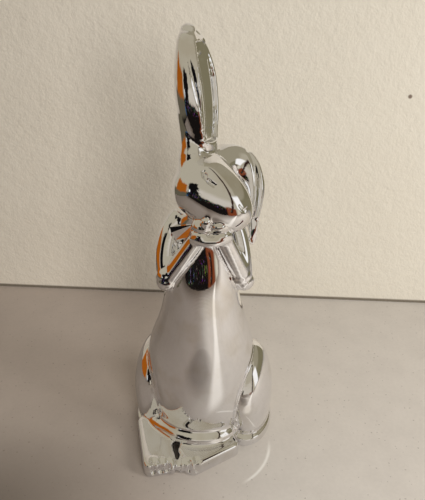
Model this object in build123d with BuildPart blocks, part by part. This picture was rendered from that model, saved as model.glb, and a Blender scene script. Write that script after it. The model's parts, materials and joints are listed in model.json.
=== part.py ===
from build123d import *

import os
from math import cos, radians, sin

os.makedirs("parts", exist_ok=True)

# Seated rabbit ornament: slip-cast and hand-pressed pieces luted together, then plated.
# Millimetres, +Z up. The origin is on the table under the middle of the torso.
# The front of the figure is -Y and the rabbit's own left is +X.
# A heading is counted in degrees from the front (-Y) towards the rabbit's left (+X).

# Walls and holes of the hollow castings
casting_wall = 4.0
floor_wall = 5.0
neck_passage_radius = 6.0
base_hole_radius = 5.0
base_hole_setback = 10.0

# Torso: how far each station stands above the one below it
hip_rise = 13.0
belly_rise = 19.0
paunch_rise = 24.0
waist_rise = 23.0
ribs_rise = 20.0
chest_rise = 20.0
armpit_rise = 20.0
shoulder_rise = 21.0
neck_rise = 22.0

# Torso: half width and half depth of each station
base_half_width = 31.0
base_half_depth = 30.0
hip_half_width = 35.0
hip_half_depth = 37.0
belly_half_width = 38.0
belly_half_depth = 41.5
paunch_half_width = 39.5
paunch_half_depth = 41.0
waist_half_width = 38.5
waist_half_depth = 37.8
ribs_half_width = 32.4
ribs_half_depth = 33.5
chest_half_width = 27.2
chest_half_depth = 28.6
armpit_half_width = 22.6
armpit_half_depth = 22.5
shoulder_half_width = 17.3
shoulder_half_depth = 15.8
neck_half_width = 12.0
neck_half_depth = 12.0

# How far the torso's middle line stands aside and back from the origin
belly_side_shift = -0.8
rump_setback = 4.0
paunch_setback = 2.2
waist_setback = -0.4
ribs_setback = -3.5
chest_setback = -6.6
armpit_setback = -7.0
shoulder_setback = -3.7
neck_setback = -3.0

# Head: an egg with its long end at the muzzle and a tiny flat at each end
head_radius = 21.5
crown_length = 19.0
muzzle_length = 39.5
head_heading = 68.0
head_bow = 36.0
head_side_shift = 1.0
head_setback = -6.0
neck_sink = 1.5
egg_flat_angle = 4.0

# Raised ear: leaf stations measured up from the middle of the head
raised_ear_heading = 68.0
raised_ear_setback = 3.0
ear_root_rise = 11.0
ear_neck_rise = 17.0
ear_low_rise = 13.0
ear_mid_rise = 20.0
ear_high_rise = 17.0
ear_upper_rise = 9.0
ear_top_rise = 5.0
ear_root_half_width = 12.0
ear_root_half_thick = 9.5
ear_neck_half_width = 14.0
ear_neck_half_thick = 10.0
ear_low_half_width = 17.0
ear_low_half_thick = 12.0
ear_mid_half_width = 18.5
ear_mid_half_thick = 13.0
ear_high_half_width = 15.0
ear_high_half_thick = 10.5
ear_upper_half_width = 10.5
ear_upper_half_thick = 7.5
ear_top_half_width = 6.5
ear_top_half_thick = 4.5
ear_low_lean = -1.0
ear_mid_lean = -2.8
ear_high_lean = -4.6
ear_upper_lean = -6.4
ear_top_lean = -7.8
ear_wall = 4.5
ear_rim = 4.0
ear_tip_radius = 4.6

# Lop ear: a leaf that leaves the crown, bends over and hangs beside the face.
# Each step leads from the station before it: to the rabbit's left, back and up.
# A tilt is how far the leaf's face looks upwards there.
lop_face_heading = -5.0
lop_root_direction = (9.0, 10.0, 15.0)
lop_root_depth = 2.0
lop_crest_step = (8.9, 4.3, 0.4)
lop_bend_step = (9.5, 2.0, -6.1)
lop_turn_step = (4.9, -1.0, -10.8)
lop_hang_step = (1.5, -2.0, -11.4)
lop_fall_step = (0.4, -3.0, -11.1)
lop_low_step = (0.4, -3.0, -10.6)
lop_tip_step = (-0.5, -2.0, -10.4)
lop_crest_tilt = 45.0
lop_bend_tilt = 40.0
lop_turn_tilt = 25.0
lop_hang_tilt = 10.0
lop_root_half_width = 7.5
lop_root_half_thick = 4.0
lop_crest_half_width = 9.3
lop_crest_half_thick = 3.2
lop_turn_half_width = 9.5
lop_turn_half_thick = 3.0
lop_hang_half_width = 8.3
lop_hang_half_thick = 2.8
lop_fall_half_width = 5.4
lop_fall_half_thick = 2.5
lop_low_half_width = 3.4
lop_low_half_thick = 2.0
lop_tip_half_width = 1.2
lop_tip_half_thick = 1.0

# Arms: the elbows stand out, the forearms rise to the chin
upper_arm_radius = 6.0
elbow_radius = 7.0
wrist_radius = 5.6
right_shoulder_out = 17.0
right_elbow_out = 23.5
right_elbow_forward = 17.0
left_shoulder_out = 22.0
left_elbow_out = 29.0
left_elbow_forward = 11.0
shoulder_lift = 8.0
right_elbow_drop = 22.0
left_elbow_drop = 25.5
arm_swell = 0.3

# Paws clasped under the chin
paw_half_width = 8.0
paw_half_depth = 8.5
paw_half_height = 9.5
paw_forward = 21.0
paw_side_shift = 6.5
paw_spacing = 5.5
paw_drop = 5.0

# Haunches
legs_heading = -12.0
haunch_half_thick = 18.0
haunch_half_length = 31.0
haunch_half_height = 43.0
haunch_rise = 30.0
haunch_sink = 1.5
haunch_back = 4.0
haunch_pad_height = 8.0
haunch_pad_edge_radius = 3.0

# Feet, with the toes turned in to meet each other
foot_height = 11.5
foot_edge_radius = 3.5
foot_corner_radius = 6.0
right_foot_heading = 11.0
right_foot_length = 54.0
right_foot_width = 24.0
right_foot_out = 30.5
right_foot_forward = 24.0
left_foot_heading = -59.0
left_foot_length = 44.0
left_foot_width = 24.0
left_foot_out = 15.2
left_foot_forward = 16.7
right_toe_count = 4
right_toe_heading = 3.0
left_toe_count = 3
left_toe_heading = -12.0
left_toe_row_shift = 7.5
toe_spacing = 5.4
toe_half_width = 3.4
toe_half_length = 8.0
toe_half_height = 7.0
toe_lift = 4.5
toe_overhang = 1.5

# Tail
tail_radius = 13.0
tail_rise = 19.0
tail_sink = 1.0

# Torso casting
base_height = 0.0
hip_height = base_height + hip_rise
belly_height = hip_height + belly_rise
paunch_height = belly_height + paunch_rise
waist_height = paunch_height + waist_rise
ribs_height = waist_height + ribs_rise
chest_height = ribs_height + chest_rise
armpit_height = chest_height + armpit_rise
shoulder_height = armpit_height + shoulder_rise
neck_height = shoulder_height + neck_rise

torso_stations = [
    (base_height, belly_side_shift, rump_setback, base_half_width, base_half_depth),
    (hip_height, belly_side_shift, rump_setback, hip_half_width, hip_half_depth),
    (belly_height, belly_side_shift, rump_setback, belly_half_width, belly_half_depth),
    (paunch_height, belly_side_shift, paunch_setback, paunch_half_width, paunch_half_depth),
    (waist_height, belly_side_shift, waist_setback, waist_half_width, waist_half_depth),
    (ribs_height, 0.0, ribs_setback, ribs_half_width, ribs_half_depth),
    (chest_height, 0.0, chest_setback, chest_half_width, chest_half_depth),
    (armpit_height, 0.0, armpit_setback, armpit_half_width, armpit_half_depth),
    (shoulder_height, 0.0, shoulder_setback, shoulder_half_width, shoulder_half_depth),
    (neck_height, 0.0, neck_setback, neck_half_width, neck_half_depth),
]

with BuildPart() as torso_form:
    for height, side_shift, setback, half_width, half_depth in torso_stations:
        with BuildSketch(Plane.XY.offset(height)):
            with Locations((side_shift, setback)):
                Ellipse(half_width, half_depth)
    loft()

with BuildPart() as torso_hollow:
    for height, side_shift, setback, half_width, half_depth in torso_stations[:-1]:
        with BuildSketch(Plane.XY.offset(max(height, base_height + floor_wall))):
            with Locations((side_shift, setback)):
                Ellipse(half_width - casting_wall, half_depth - casting_wall)
    loft()


def forward_of(heading):
    """Level direction that a heading points in."""
    return Vector(sin(radians(heading)), -cos(radians(heading)), 0)


def left_of(heading):
    """Level direction a quarter turn to the rabbit's left of a heading."""
    return Vector(cos(radians(heading)), sin(radians(heading)), 0)


def ellipsoid(middle, half_x, half_y, half_z, heading=0.0):
    """A ball stretched along three axes and turned about the upright."""
    turned = Plane(origin=middle, x_dir=left_of(heading), z_dir=(0, 0, 1))
    return turned * scale(Sphere(1), by=(half_x, half_y, half_z))


# Head: the long axis runs from the crown down to the muzzle
muzzle_direction = forward_of(head_heading) * cos(radians(head_bow)) - Vector(0, 0, sin(radians(head_bow)))
cheek_direction = -left_of(head_heading)
head_middle = Vector(head_side_shift, head_setback, neck_height + head_radius - neck_sink)
head_plane = Plane(origin=head_middle, x_dir=muzzle_direction, z_dir=muzzle_direction.cross(cheek_direction))


def egg(crown, muzzle, radius):
    """An egg on the head's axis: short from its middle to the crown, long to the muzzle."""
    with BuildPart() as made:
        with BuildSketch(head_plane):
            with BuildLine():
                quarter = 90 - egg_flat_angle
                nose_side = EllipticalCenterArc((0, 0), muzzle, radius, egg_flat_angle, arc_size=quarter)
                poll_side = EllipticalCenterArc((0, 0), crown, radius, 90, arc_size=quarter)
                nose = nose_side @ 0
                poll = poll_side @ 1
                Polyline(poll, (poll.X, 0), (nose.X, 0), nose)
            make_face()
        revolve(axis=Axis(head_middle, muzzle_direction))
    return made.part


head_form = egg(crown_length, muzzle_length, head_radius)
head_hollow = egg(crown_length - casting_wall, muzzle_length - casting_wall, head_radius - casting_wall)

# Passage through the neck, so that the slip drains from the head and no hollow is sealed in firing
with BuildPart() as neck_passage:
    with BuildSketch(Plane.XY.offset(shoulder_height - casting_wall)):
        Circle(neck_passage_radius)
    extrude(amount=head_middle.Z - shoulder_height)

# Raised ear: an upright leaf with a long scoop in the side that it opens to
ear_root_height = head_middle.Z + ear_root_rise
ear_neck_height = ear_root_height + ear_neck_rise
ear_low_height = ear_neck_height + ear_low_rise
ear_mid_height = ear_low_height + ear_mid_rise
ear_high_height = ear_mid_height + ear_high_rise
ear_upper_height = ear_high_height + ear_upper_rise
ear_top_height = ear_upper_height + ear_top_rise
raised_ear_stations = [
    (ear_root_height, 0.0, ear_root_half_width, ear_root_half_thick),
    (ear_neck_height, 0.0, ear_neck_half_width, ear_neck_half_thick),
    (ear_low_height, ear_low_lean, ear_low_half_width, ear_low_half_thick),
    (ear_mid_height, ear_mid_lean, ear_mid_half_width, ear_mid_half_thick),
    (ear_high_height, ear_high_lean, ear_high_half_width, ear_high_half_thick),
    (ear_upper_height, ear_upper_lean, ear_upper_half_width, ear_upper_half_thick),
    (ear_top_height, ear_top_lean, ear_top_half_width, ear_top_half_thick),
]


def ear_plane(height, lean, forward=0.0):
    """Level plane of one ear station, with X across the leaf and Y towards its open side."""
    middle = Vector(head_side_shift + lean, raised_ear_setback, height)
    middle = middle + forward_of(raised_ear_heading) * forward
    return Plane(origin=middle, x_dir=-left_of(raised_ear_heading), z_dir=(0, 0, 1))


with BuildPart() as raised_ear_form:
    for height, lean, half_width, half_thick in raised_ear_stations:
        with BuildSketch(ear_plane(height, lean)):
            Ellipse(half_width, half_thick)
    loft()

with BuildPart() as ear_scoop:
    for height, lean, half_width, half_thick in raised_ear_stations[1:-1]:
        with BuildSketch(ear_plane(height, lean, half_thick)):
            Ellipse(half_width - ear_rim, 2 * half_thick - ear_wall)
    loft()

# Lop ear: the leaf's path starts just under the surface of the head
lop_root = head_middle + Vector(*lop_root_direction).normalized() * (head_radius - lop_root_depth)
lop_stations = [
    ((0.0, 0.0, 0.0), lop_crest_tilt, lop_root_half_width, lop_root_half_thick),
    (lop_crest_step, lop_crest_tilt, lop_crest_half_width, lop_crest_half_thick),
    (lop_bend_step, lop_bend_tilt, lop_turn_half_width, lop_turn_half_thick),
    (lop_turn_step, lop_turn_tilt, lop_turn_half_width, lop_turn_half_thick),
    (lop_hang_step, lop_hang_tilt, lop_hang_half_width, lop_hang_half_thick),
    (lop_fall_step, 0.0, lop_fall_half_width, lop_fall_half_thick),
    (lop_low_step, 0.0, lop_low_half_width, lop_low_half_thick),
    (lop_tip_step, 0.0, lop_tip_half_width, lop_tip_half_thick),
]
lop_middles = [lop_root]
for step, tilt, half_width, half_thick in lop_stations[1:]:
    lop_middles.append(lop_middles[-1] + Vector(*step))

with BuildPart() as lop_ear_form:
    for index, (step, tilt, half_width, half_thick) in enumerate(lop_stations):
        before = lop_middles[max(index - 1, 0)]
        after = lop_middles[min(index + 1, len(lop_middles) - 1)]
        along = (after - before).normalized()
        face = forward_of(lop_face_heading) * cos(radians(tilt)) + Vector(0, 0, sin(radians(tilt)))
        across = along.cross(face)
        with BuildSketch(Plane(origin=lop_middles[index], x_dir=across, z_dir=along)):
            Ellipse(half_width, half_thick)
    loft()

# Arms and paws
paw_height = neck_height - paw_drop
right_paw_middle = Vector(paw_side_shift - paw_spacing, -paw_forward, paw_height)
left_paw_middle = Vector(paw_side_shift + paw_spacing, -paw_forward, paw_height)
right_shoulder = Vector(-right_shoulder_out, 0, shoulder_height + shoulder_lift)
left_shoulder = Vector(left_shoulder_out, 0, shoulder_height + shoulder_lift)
right_elbow = Vector(-right_elbow_out, -right_elbow_forward, shoulder_height - right_elbow_drop)
left_elbow = Vector(left_elbow_out, -left_elbow_forward, shoulder_height - left_elbow_drop)


def limb(start, start_radius, end, end_radius):
    """Straight tapering limb between two points, with round ends."""
    along = (end - start).normalized()
    with BuildPart() as made:
        with BuildSketch(Plane(origin=start, z_dir=along)):
            Circle(start_radius)
        with BuildSketch(Plane(origin=end, z_dir=along)):
            Circle(end_radius)
        loft()
        with Locations(start):
            Sphere(start_radius + arm_swell)
        with Locations(end):
            Sphere(end_radius + arm_swell)
    return made.part


right_upper_arm = limb(right_shoulder, upper_arm_radius, right_elbow, elbow_radius)
right_forearm = limb(right_paw_middle, wrist_radius, right_elbow, elbow_radius - 2 * arm_swell)
left_upper_arm = limb(left_shoulder, upper_arm_radius, left_elbow, elbow_radius)
left_forearm = limb(left_paw_middle, wrist_radius, left_elbow, elbow_radius - 2 * arm_swell)
right_paw_form = ellipsoid(right_paw_middle, paw_half_width, paw_half_depth, paw_half_height)
left_paw_form = ellipsoid(left_paw_middle, paw_half_width, paw_half_depth, paw_half_height)

# Haunches
haunch_out = belly_half_width - haunch_sink
haunch_middle = forward_of(legs_heading) * -haunch_back + Vector(0, rump_setback, haunch_rise)
right_haunch_middle = haunch_middle - left_of(legs_heading) * haunch_out
left_haunch_middle = haunch_middle + left_of(legs_heading) * haunch_out
right_haunch_form = ellipsoid(
    right_haunch_middle, haunch_half_thick, haunch_half_length, haunch_half_height, legs_heading
)
left_haunch_form = ellipsoid(
    left_haunch_middle, haunch_half_thick, haunch_half_length, haunch_half_height, legs_heading
)


def pad(middle):
    """Low pad under a haunch, as long and wide as the haunch at its thickest."""
    with BuildPart() as made:
        with BuildSketch(Plane(origin=(middle.X, middle.Y, 0), x_dir=left_of(legs_heading), z_dir=(0, 0, 1))):
            Ellipse(haunch_half_thick, haunch_half_length)
        extrude(amount=haunch_pad_height)
        fillet(made.faces().sort_by(Axis.Z)[-1].edges(), haunch_pad_edge_radius)
    return made.part


right_haunch_pad = pad(right_haunch_middle)
left_haunch_pad = pad(left_haunch_middle)

# Feet: the toe tips reach past the front of the hips
hip_front = rump_setback - hip_half_depth
right_toe_tips = Vector(-right_foot_out, hip_front - right_foot_forward, 0)
left_toe_tips = Vector(-left_foot_out, hip_front - left_foot_forward, 0)


def foot(toe_tips, heading, length, width, toe_count, toe_heading, row_shift=0.0):
    """Flat-bottomed foot with rounded upper edges and a row of toes across its front."""
    middle = toe_tips - forward_of(heading) * (length / 2)
    with BuildPart() as sole:
        with BuildSketch(Plane(origin=middle, x_dir=left_of(heading), z_dir=(0, 0, 1))):
            RectangleRounded(width, length, foot_corner_radius)
        extrude(amount=foot_height)
        fillet(sole.faces().sort_by(Axis.Z)[-1].edges(), foot_edge_radius)
    row_middle = toe_tips + left_of(heading) * row_shift + Vector(0, 0, toe_lift)
    toe_reach = forward_of(toe_heading) * (toe_overhang - toe_half_length)
    toes = []
    for index in range(toe_count):
        side = left_of(toe_heading) * ((index - (toe_count - 1) / 2) * toe_spacing)
        toes.append(
            ellipsoid(row_middle + side + toe_reach, toe_half_width, toe_half_length, toe_half_height, toe_heading)
        )
    with BuildPart() as made:
        add(sole.part)
        add(toes)
        split(bisect_by=Plane.XY, keep=Keep.TOP)
    return made.part


right_foot_form = foot(
    right_toe_tips, right_foot_heading, right_foot_length, right_foot_width, right_toe_count, right_toe_heading
)
left_foot_form = foot(
    left_toe_tips,
    left_foot_heading,
    left_foot_length,
    left_foot_width,
    left_toe_count,
    left_toe_heading,
    left_toe_row_shift,
)

# Each finished piece is cut to the face of the pieces that it is luted to
with BuildPart() as body_shell:
    add(torso_form.part)
    add(torso_hollow.part, mode=Mode.SUBTRACT)
    add(head_form, mode=Mode.SUBTRACT)
    add(neck_passage.part, mode=Mode.SUBTRACT)
    with BuildSketch(Plane.XY):
        with Locations((0, rump_setback + base_hole_setback)):
            Circle(base_hole_radius)
    extrude(amount=2 * floor_wall, mode=Mode.SUBTRACT)
body_shell.part.label = "body_shell"

with BuildPart() as head_shell:
    add(head_form)
    add(head_hollow, mode=Mode.SUBTRACT)
    add(neck_passage.part, mode=Mode.SUBTRACT)
head_shell.part.label = "head_shell"

with BuildPart() as raised_ear:
    add(raised_ear_form.part)
    with Locations(ear_plane(ear_top_height, ear_top_lean).origin):
        Sphere(ear_tip_radius)
    add(ear_scoop.part, mode=Mode.SUBTRACT)
    add(head_form, mode=Mode.SUBTRACT)
raised_ear.part.label = "raised_ear"

with BuildPart() as lop_ear:
    add(lop_ear_form.part)
    add(head_form, mode=Mode.SUBTRACT)
    add(raised_ear_form.part, mode=Mode.SUBTRACT)
lop_ear.part.label = "lop_ear"

with BuildPart() as right_arm:
    add(right_upper_arm)
    add(right_forearm)
    add(right_paw_form)
    add(torso_form.part, mode=Mode.SUBTRACT)
    add(head_form, mode=Mode.SUBTRACT)
right_arm.part.label = "right_arm"

with BuildPart() as left_arm:
    add(left_upper_arm)
    add(left_forearm)
    add(left_paw_form)
    add(torso_form.part, mode=Mode.SUBTRACT)
    add(head_form, mode=Mode.SUBTRACT)
    add(right_arm.part, mode=Mode.SUBTRACT)
    add(lop_ear_form.part, mode=Mode.SUBTRACT)
left_arm.part.label = "left_arm"

with BuildPart() as right_haunch:
    add(right_haunch_form)
    add(right_haunch_pad)
    add(torso_form.part, mode=Mode.SUBTRACT)
    split(bisect_by=Plane.XY, keep=Keep.TOP)
right_haunch.part.label = "right_haunch"

with BuildPart() as left_haunch:
    add(left_haunch_form)
    add(left_haunch_pad)
    add(torso_form.part, mode=Mode.SUBTRACT)
    split(bisect_by=Plane.XY, keep=Keep.TOP)
left_haunch.part.label = "left_haunch"

with BuildPart() as right_foot:
    add(right_foot_form)
    add(torso_form.part, mode=Mode.SUBTRACT)
    add(right_haunch_form, mode=Mode.SUBTRACT)
    add(right_haunch_pad, mode=Mode.SUBTRACT)
right_foot.part.label = "right_foot"

with BuildPart() as left_foot:
    add(left_foot_form)
    add(torso_form.part, mode=Mode.SUBTRACT)
    add(left_haunch_form, mode=Mode.SUBTRACT)
    add(left_haunch_pad, mode=Mode.SUBTRACT)
    add(right_foot_form, mode=Mode.SUBTRACT)
left_foot.part.label = "left_foot"

# Tail: a round bun at the back of the rump
tail_middle = forward_of(legs_heading) * (tail_sink - belly_half_depth) + Vector(0, rump_setback, tail_rise)
with BuildPart() as tail:
    with Locations(tail_middle):
        Sphere(tail_radius)
    add(torso_form.part, mode=Mode.SUBTRACT)
    split(bisect_by=Plane.XY, keep=Keep.TOP)
tail.part.label = "tail"

export_step(body_shell.part, "parts/body_shell.step")
export_step(head_shell.part, "parts/head_shell.step")
export_step(raised_ear.part, "parts/raised_ear.step")
export_step(lop_ear.part, "parts/lop_ear.step")
export_step(right_arm.part, "parts/right_arm.step")
export_step(left_arm.part, "parts/left_arm.step")
export_step(right_haunch.part, "parts/right_haunch.step")
export_step(left_haunch.part, "parts/left_haunch.step")
export_step(right_foot.part, "parts/right_foot.step")
export_step(left_foot.part, "parts/left_foot.step")
export_step(tail.part, "parts/tail.step")
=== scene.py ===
"""Dressed model of a seated rabbit ornament in mirror-bright silver plating.

The ornament's castings are fused into one glazed skin, softened, detailed and parted again
into one closed piece for each casting. Sizes in the classes are millimetres and turns are
degrees, and Blender's own lengths are metres. The front of the figure is -Y and its own
left is +X.
"""

import json
import logging
import math
from dataclasses import dataclass
from enum import Enum

import bpy
import numpy as np
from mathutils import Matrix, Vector
from mathutils.bvhtree import BVHTree

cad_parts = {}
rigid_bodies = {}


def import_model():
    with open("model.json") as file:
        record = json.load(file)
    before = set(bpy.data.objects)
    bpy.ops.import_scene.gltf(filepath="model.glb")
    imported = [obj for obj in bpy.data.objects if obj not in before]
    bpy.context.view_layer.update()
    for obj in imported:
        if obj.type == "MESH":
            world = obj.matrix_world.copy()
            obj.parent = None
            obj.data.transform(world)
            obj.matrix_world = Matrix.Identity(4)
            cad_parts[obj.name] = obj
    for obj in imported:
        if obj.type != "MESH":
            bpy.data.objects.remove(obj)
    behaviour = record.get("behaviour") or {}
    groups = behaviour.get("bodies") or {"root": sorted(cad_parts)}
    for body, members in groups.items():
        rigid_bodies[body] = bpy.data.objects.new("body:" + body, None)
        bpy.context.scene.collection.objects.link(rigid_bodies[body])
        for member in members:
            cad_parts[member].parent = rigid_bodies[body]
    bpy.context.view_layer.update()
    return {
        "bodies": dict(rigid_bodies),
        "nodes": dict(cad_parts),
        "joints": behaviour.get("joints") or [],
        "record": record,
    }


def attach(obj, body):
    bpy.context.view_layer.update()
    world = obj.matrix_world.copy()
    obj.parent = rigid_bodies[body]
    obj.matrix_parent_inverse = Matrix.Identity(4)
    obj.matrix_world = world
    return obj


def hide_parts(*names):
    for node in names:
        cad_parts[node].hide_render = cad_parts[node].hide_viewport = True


LOG = logging.getLogger("rabbit")
MM = 0.001
Span = tuple[float, float]
Triple = tuple[float, float, float]
Place = tuple[float, float, float, float]
Shade = tuple[int, int, int]
Socket = bpy.types.NodeSocket


class Casting(Enum):
    """The separately made pieces of the ornament, by the names of their solids."""

    TORSO = "body_shell"
    HEAD = "head_shell"
    RAISED_EAR = "raised_ear"
    LOP_EAR = "lop_ear"
    RIGHT_ARM = "right_arm"
    LEFT_ARM = "left_arm"
    RIGHT_HAUNCH = "right_haunch"
    LEFT_HAUNCH = "left_haunch"
    RIGHT_FOOT = "right_foot"
    LEFT_FOOT = "left_foot"
    TAIL = "tail"


class Ray(Enum):
    """Which light rays a finish asks about, by Blender's names for them."""

    CAMERA = "Is Camera Ray"
    GLOSSY = "Is Glossy Ray"


class Axis(Enum):
    """The three ways across a place or direction."""

    ACROSS = 0
    ALONG = 1
    UPWARD = 2


def linear(shade: Shade) -> tuple[float, float, float, float]:
    """Turns a colour as the eye reads it into Blender's linear colour, by the sRGB curve.

    Args:
        shade: Red, green and blue from 0 to 255.

    Returns:
        Linear red, green, blue and an alpha of 1.
    """
    parts = []
    for value in shade:
        level = value / 255
        parts.append(level / 12.92 if level <= 0.04045 else ((level + 0.055) / 1.055) ** 2.4)
    return (parts[0], parts[1], parts[2], 1.0)


def metres(point: Triple) -> Vector:
    """Turns a point in millimetres into Blender's metres."""
    return Vector(point) * MM


def pick(piece: bpy.types.Object) -> None:
    """Leaves one piece selected and active, and nothing else.

    Args:
        piece: The piece.
    """
    bpy.ops.object.select_all(action="DESELECT")
    piece.select_set(True)
    bpy.context.view_layer.objects.active = piece


def apply(piece: bpy.types.Object, kind: str, **settings: object) -> None:
    """Adds a modifier to a piece, sets it and applies it.

    Args:
        piece: The piece to change.
        kind: Blender's name for the modifier.
        settings: Values for the modifier.
    """
    pick(piece)
    bpy.ops.object.modifier_add(type=kind)
    modifier = piece.modifiers[-1]
    for key, value in settings.items():
        setattr(modifier, key, value)
    bpy.ops.object.modifier_apply(modifier=modifier.name)


def read(items: bpy.types.bpy_prop_collection, name: str, width: int = 1) -> np.ndarray:
    """Reads one field of all corners, edges or faces of a mesh.

    Args:
        items: The mesh's corners, edges, faces or loops.
        name: Name of the field.
        width: How many numbers each item holds.

    Returns:
        One row for each item.
    """
    kind = np.float32 if name in ("co", "vector", "center", "normal") else np.int32
    values = np.empty(len(items) * width, kind)
    items.foreach_get(name, values)
    return values.reshape(-1, width) if width > 1 else values


def owners(data: bpy.types.Mesh) -> np.ndarray:
    """Finds the casting that each corner of the labelled skin belongs to.

    Args:
        data: The skin's mesh.

    Returns:
        The number of one casting for each corner.
    """
    found = np.zeros(len(data.vertices), int)
    spread = np.repeat(read(data.polygons, "material_index"), read(data.polygons, "loop_total"))
    found[read(data.loops, "vertex_index")] = spread
    return found


def mark(
    skin: bpy.types.Object, corners: np.ndarray | None = None, faces: np.ndarray | None = None
) -> None:
    """Selects only the chosen corners or only the chosen faces of a piece in object mode.

    Args:
        skin: The piece.
        corners: Which corners to select, if any.
        faces: Which faces to select, if any.
    """
    data = skin.data
    for items, chosen in ((data.vertices, corners), (data.edges, None), (data.polygons, faces)):
        items.foreach_set("select", np.zeros(len(items), bool) if chosen is None else chosen)
    bpy.context.tool_settings.mesh_select_mode = (corners is not None, False, faces is not None)


@dataclass(frozen=True)
class Lump:
    """A ball of clay, stretched along its own axes and turned.

    Attributes:
        name: Its name.
        centre: Its middle.
        radii: Its half sizes.
        turn: Its turns about X, Y and Z.
    """

    name: str
    centre: Triple
    radii: Triple
    turn: Triple = (0.0, 0.0, 0.0)

    def make(self) -> bpy.types.Object:
        """Makes the ball.

        Returns:
            A closed mesh.
        """
        bpy.ops.object.select_all(action="DESELECT")
        bpy.ops.mesh.primitive_uv_sphere_add(
            segments=48,
            ring_count=24,
            radius=1,
            location=metres(self.centre),
            rotation=[math.radians(angle) for angle in self.turn],
        )
        lump = bpy.context.object
        lump.name = self.name
        lump.scale = metres(self.radii)
        bpy.ops.object.transform_apply(location=True, rotation=True, scale=True)
        return lump


@dataclass(frozen=True)
class Roll:
    """A roll of clay along a smooth path.

    Attributes:
        name: Its name.
        path: Points, each with the roll's radius there.
    """

    name: str
    path: tuple[Place, ...]

    def make(self) -> bpy.types.Object:
        """Makes the roll.

        Returns:
            A closed mesh.
        """
        curve = bpy.data.curves.new(self.name, "CURVE")
        curve.dimensions = "3D"
        curve.bevel_depth = MM
        curve.bevel_resolution = 6
        curve.use_fill_caps = True
        curve.resolution_u = 12
        strand = curve.splines.new("NURBS")
        strand.points.add(len(self.path) - 1)
        for point, (x, y, z, radius) in zip(strand.points, self.path):
            point.co = (x * MM, y * MM, z * MM, 1)
            point.radius = radius
        strand.order_u = 4
        strand.use_endpoint_u = True
        piece = bpy.data.objects.new(self.name, curve)
        bpy.context.collection.objects.link(piece)
        pick(piece)
        bpy.ops.object.convert(target="MESH")
        return bpy.context.object


@dataclass(frozen=True)
class Stroke:
    """A line worked along the soft clay.

    Attributes:
        path: Points near the surface, which the line is drawn to.
        depth: How far the clay is pressed in, or raised where it is below zero.
        half_width: Half the width of the line.
        step: How far apart the points of the drawn line lie.
        reach: How many half widths away from the line the clay still moves.
    """

    path: tuple[Triple, ...]
    depth: float
    half_width: float
    step: float = 0.3
    reach: float = 3.0

    def line(self, skin: bpy.types.Object) -> np.ndarray:
        """Draws a smooth line through the points on the skin.

        Args:
            skin: The skin that the line lies on.

        Returns:
            Closely spaced points in metres.
        """
        points = np.array([self.path[0], *self.path, self.path[-1]], dtype=float) * MM
        drawn = []
        for index in range(len(self.path) - 1):
            before, start, end, after = points[index : index + 4]
            slope = end - before
            bend = 2 * before - 5 * start + 4 * end - after
            twist = 3 * start - before - 3 * end + after
            steps = max(2, int(np.linalg.norm(end - start) / (self.step * MM)))
            for share in np.linspace(0, 1, steps, endpoint=False):
                drawn.append(start + (slope * share + bend * share**2 + twist * share**3) / 2)
        drawn.append(points[-1])
        return np.array([skin.closest_point_on_mesh(Vector(point))[1] for point in drawn])

    def gaps(self, skin: bpy.types.Object, spots: np.ndarray) -> tuple[np.ndarray, np.ndarray]:
        """Measures how far the nearby spots lie from the line.

        Args:
            skin: The skin that the line lies on.
            spots: Corners of the skin, or middles of its faces.

        Returns:
            Numbers of the nearby spots, and their gaps to the line in metres.
        """
        line = self.line(skin)
        reach = self.reach * self.half_width * MM
        near = np.flatnonzero(((spots > line.min(0) - reach) & (spots < line.max(0) + reach)).all(1))
        gaps = np.full(len(near), np.inf)
        for point in line:
            gaps = np.minimum(gaps, np.linalg.norm(spots[near] - point, axis=1))
        inside = gaps < reach
        return near[inside], gaps[inside]


@dataclass(frozen=True)
class Facing:
    """A part of the glaze that faces another way than the clay under it.

    Attributes:
        casting: The casting that it lies on.
        centre: Its middle.
        radii: How far it goes along X, Y and Z.
        tip: How far it faces down.
        fade: Over what share of its radii it fades out.
        front: How far forward the clay has to face for the whole tip.
    """

    casting: Casting
    centre: Triple
    radii: Triple
    tip: float
    fade: float = 0.7
    front: float = 0.3

    def lean(self, spots: np.ndarray, outward: np.ndarray, own: np.ndarray) -> np.ndarray:
        """Tips the directions that the glaze faces in.

        Args:
            spots: Corners of the skin.
            outward: The direction that each corner faces in.
            own: Which corners belong to the casting.

        Returns:
            The new directions.
        """
        gaps = np.linalg.norm((spots / MM - self.centre) / self.radii, axis=1)
        share = np.clip((1 - gaps) / self.fade, 0, 1)
        share = share * share * (3 - 2 * share) * own * np.clip(-outward[:, 1] / self.front, 0, 1)
        tip = np.radians(self.tip) * share
        x, y, z = outward.T
        return np.stack([x, y * np.cos(tip) - z * np.sin(tip), z * np.cos(tip) + y * np.sin(tip)], axis=1)


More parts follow.
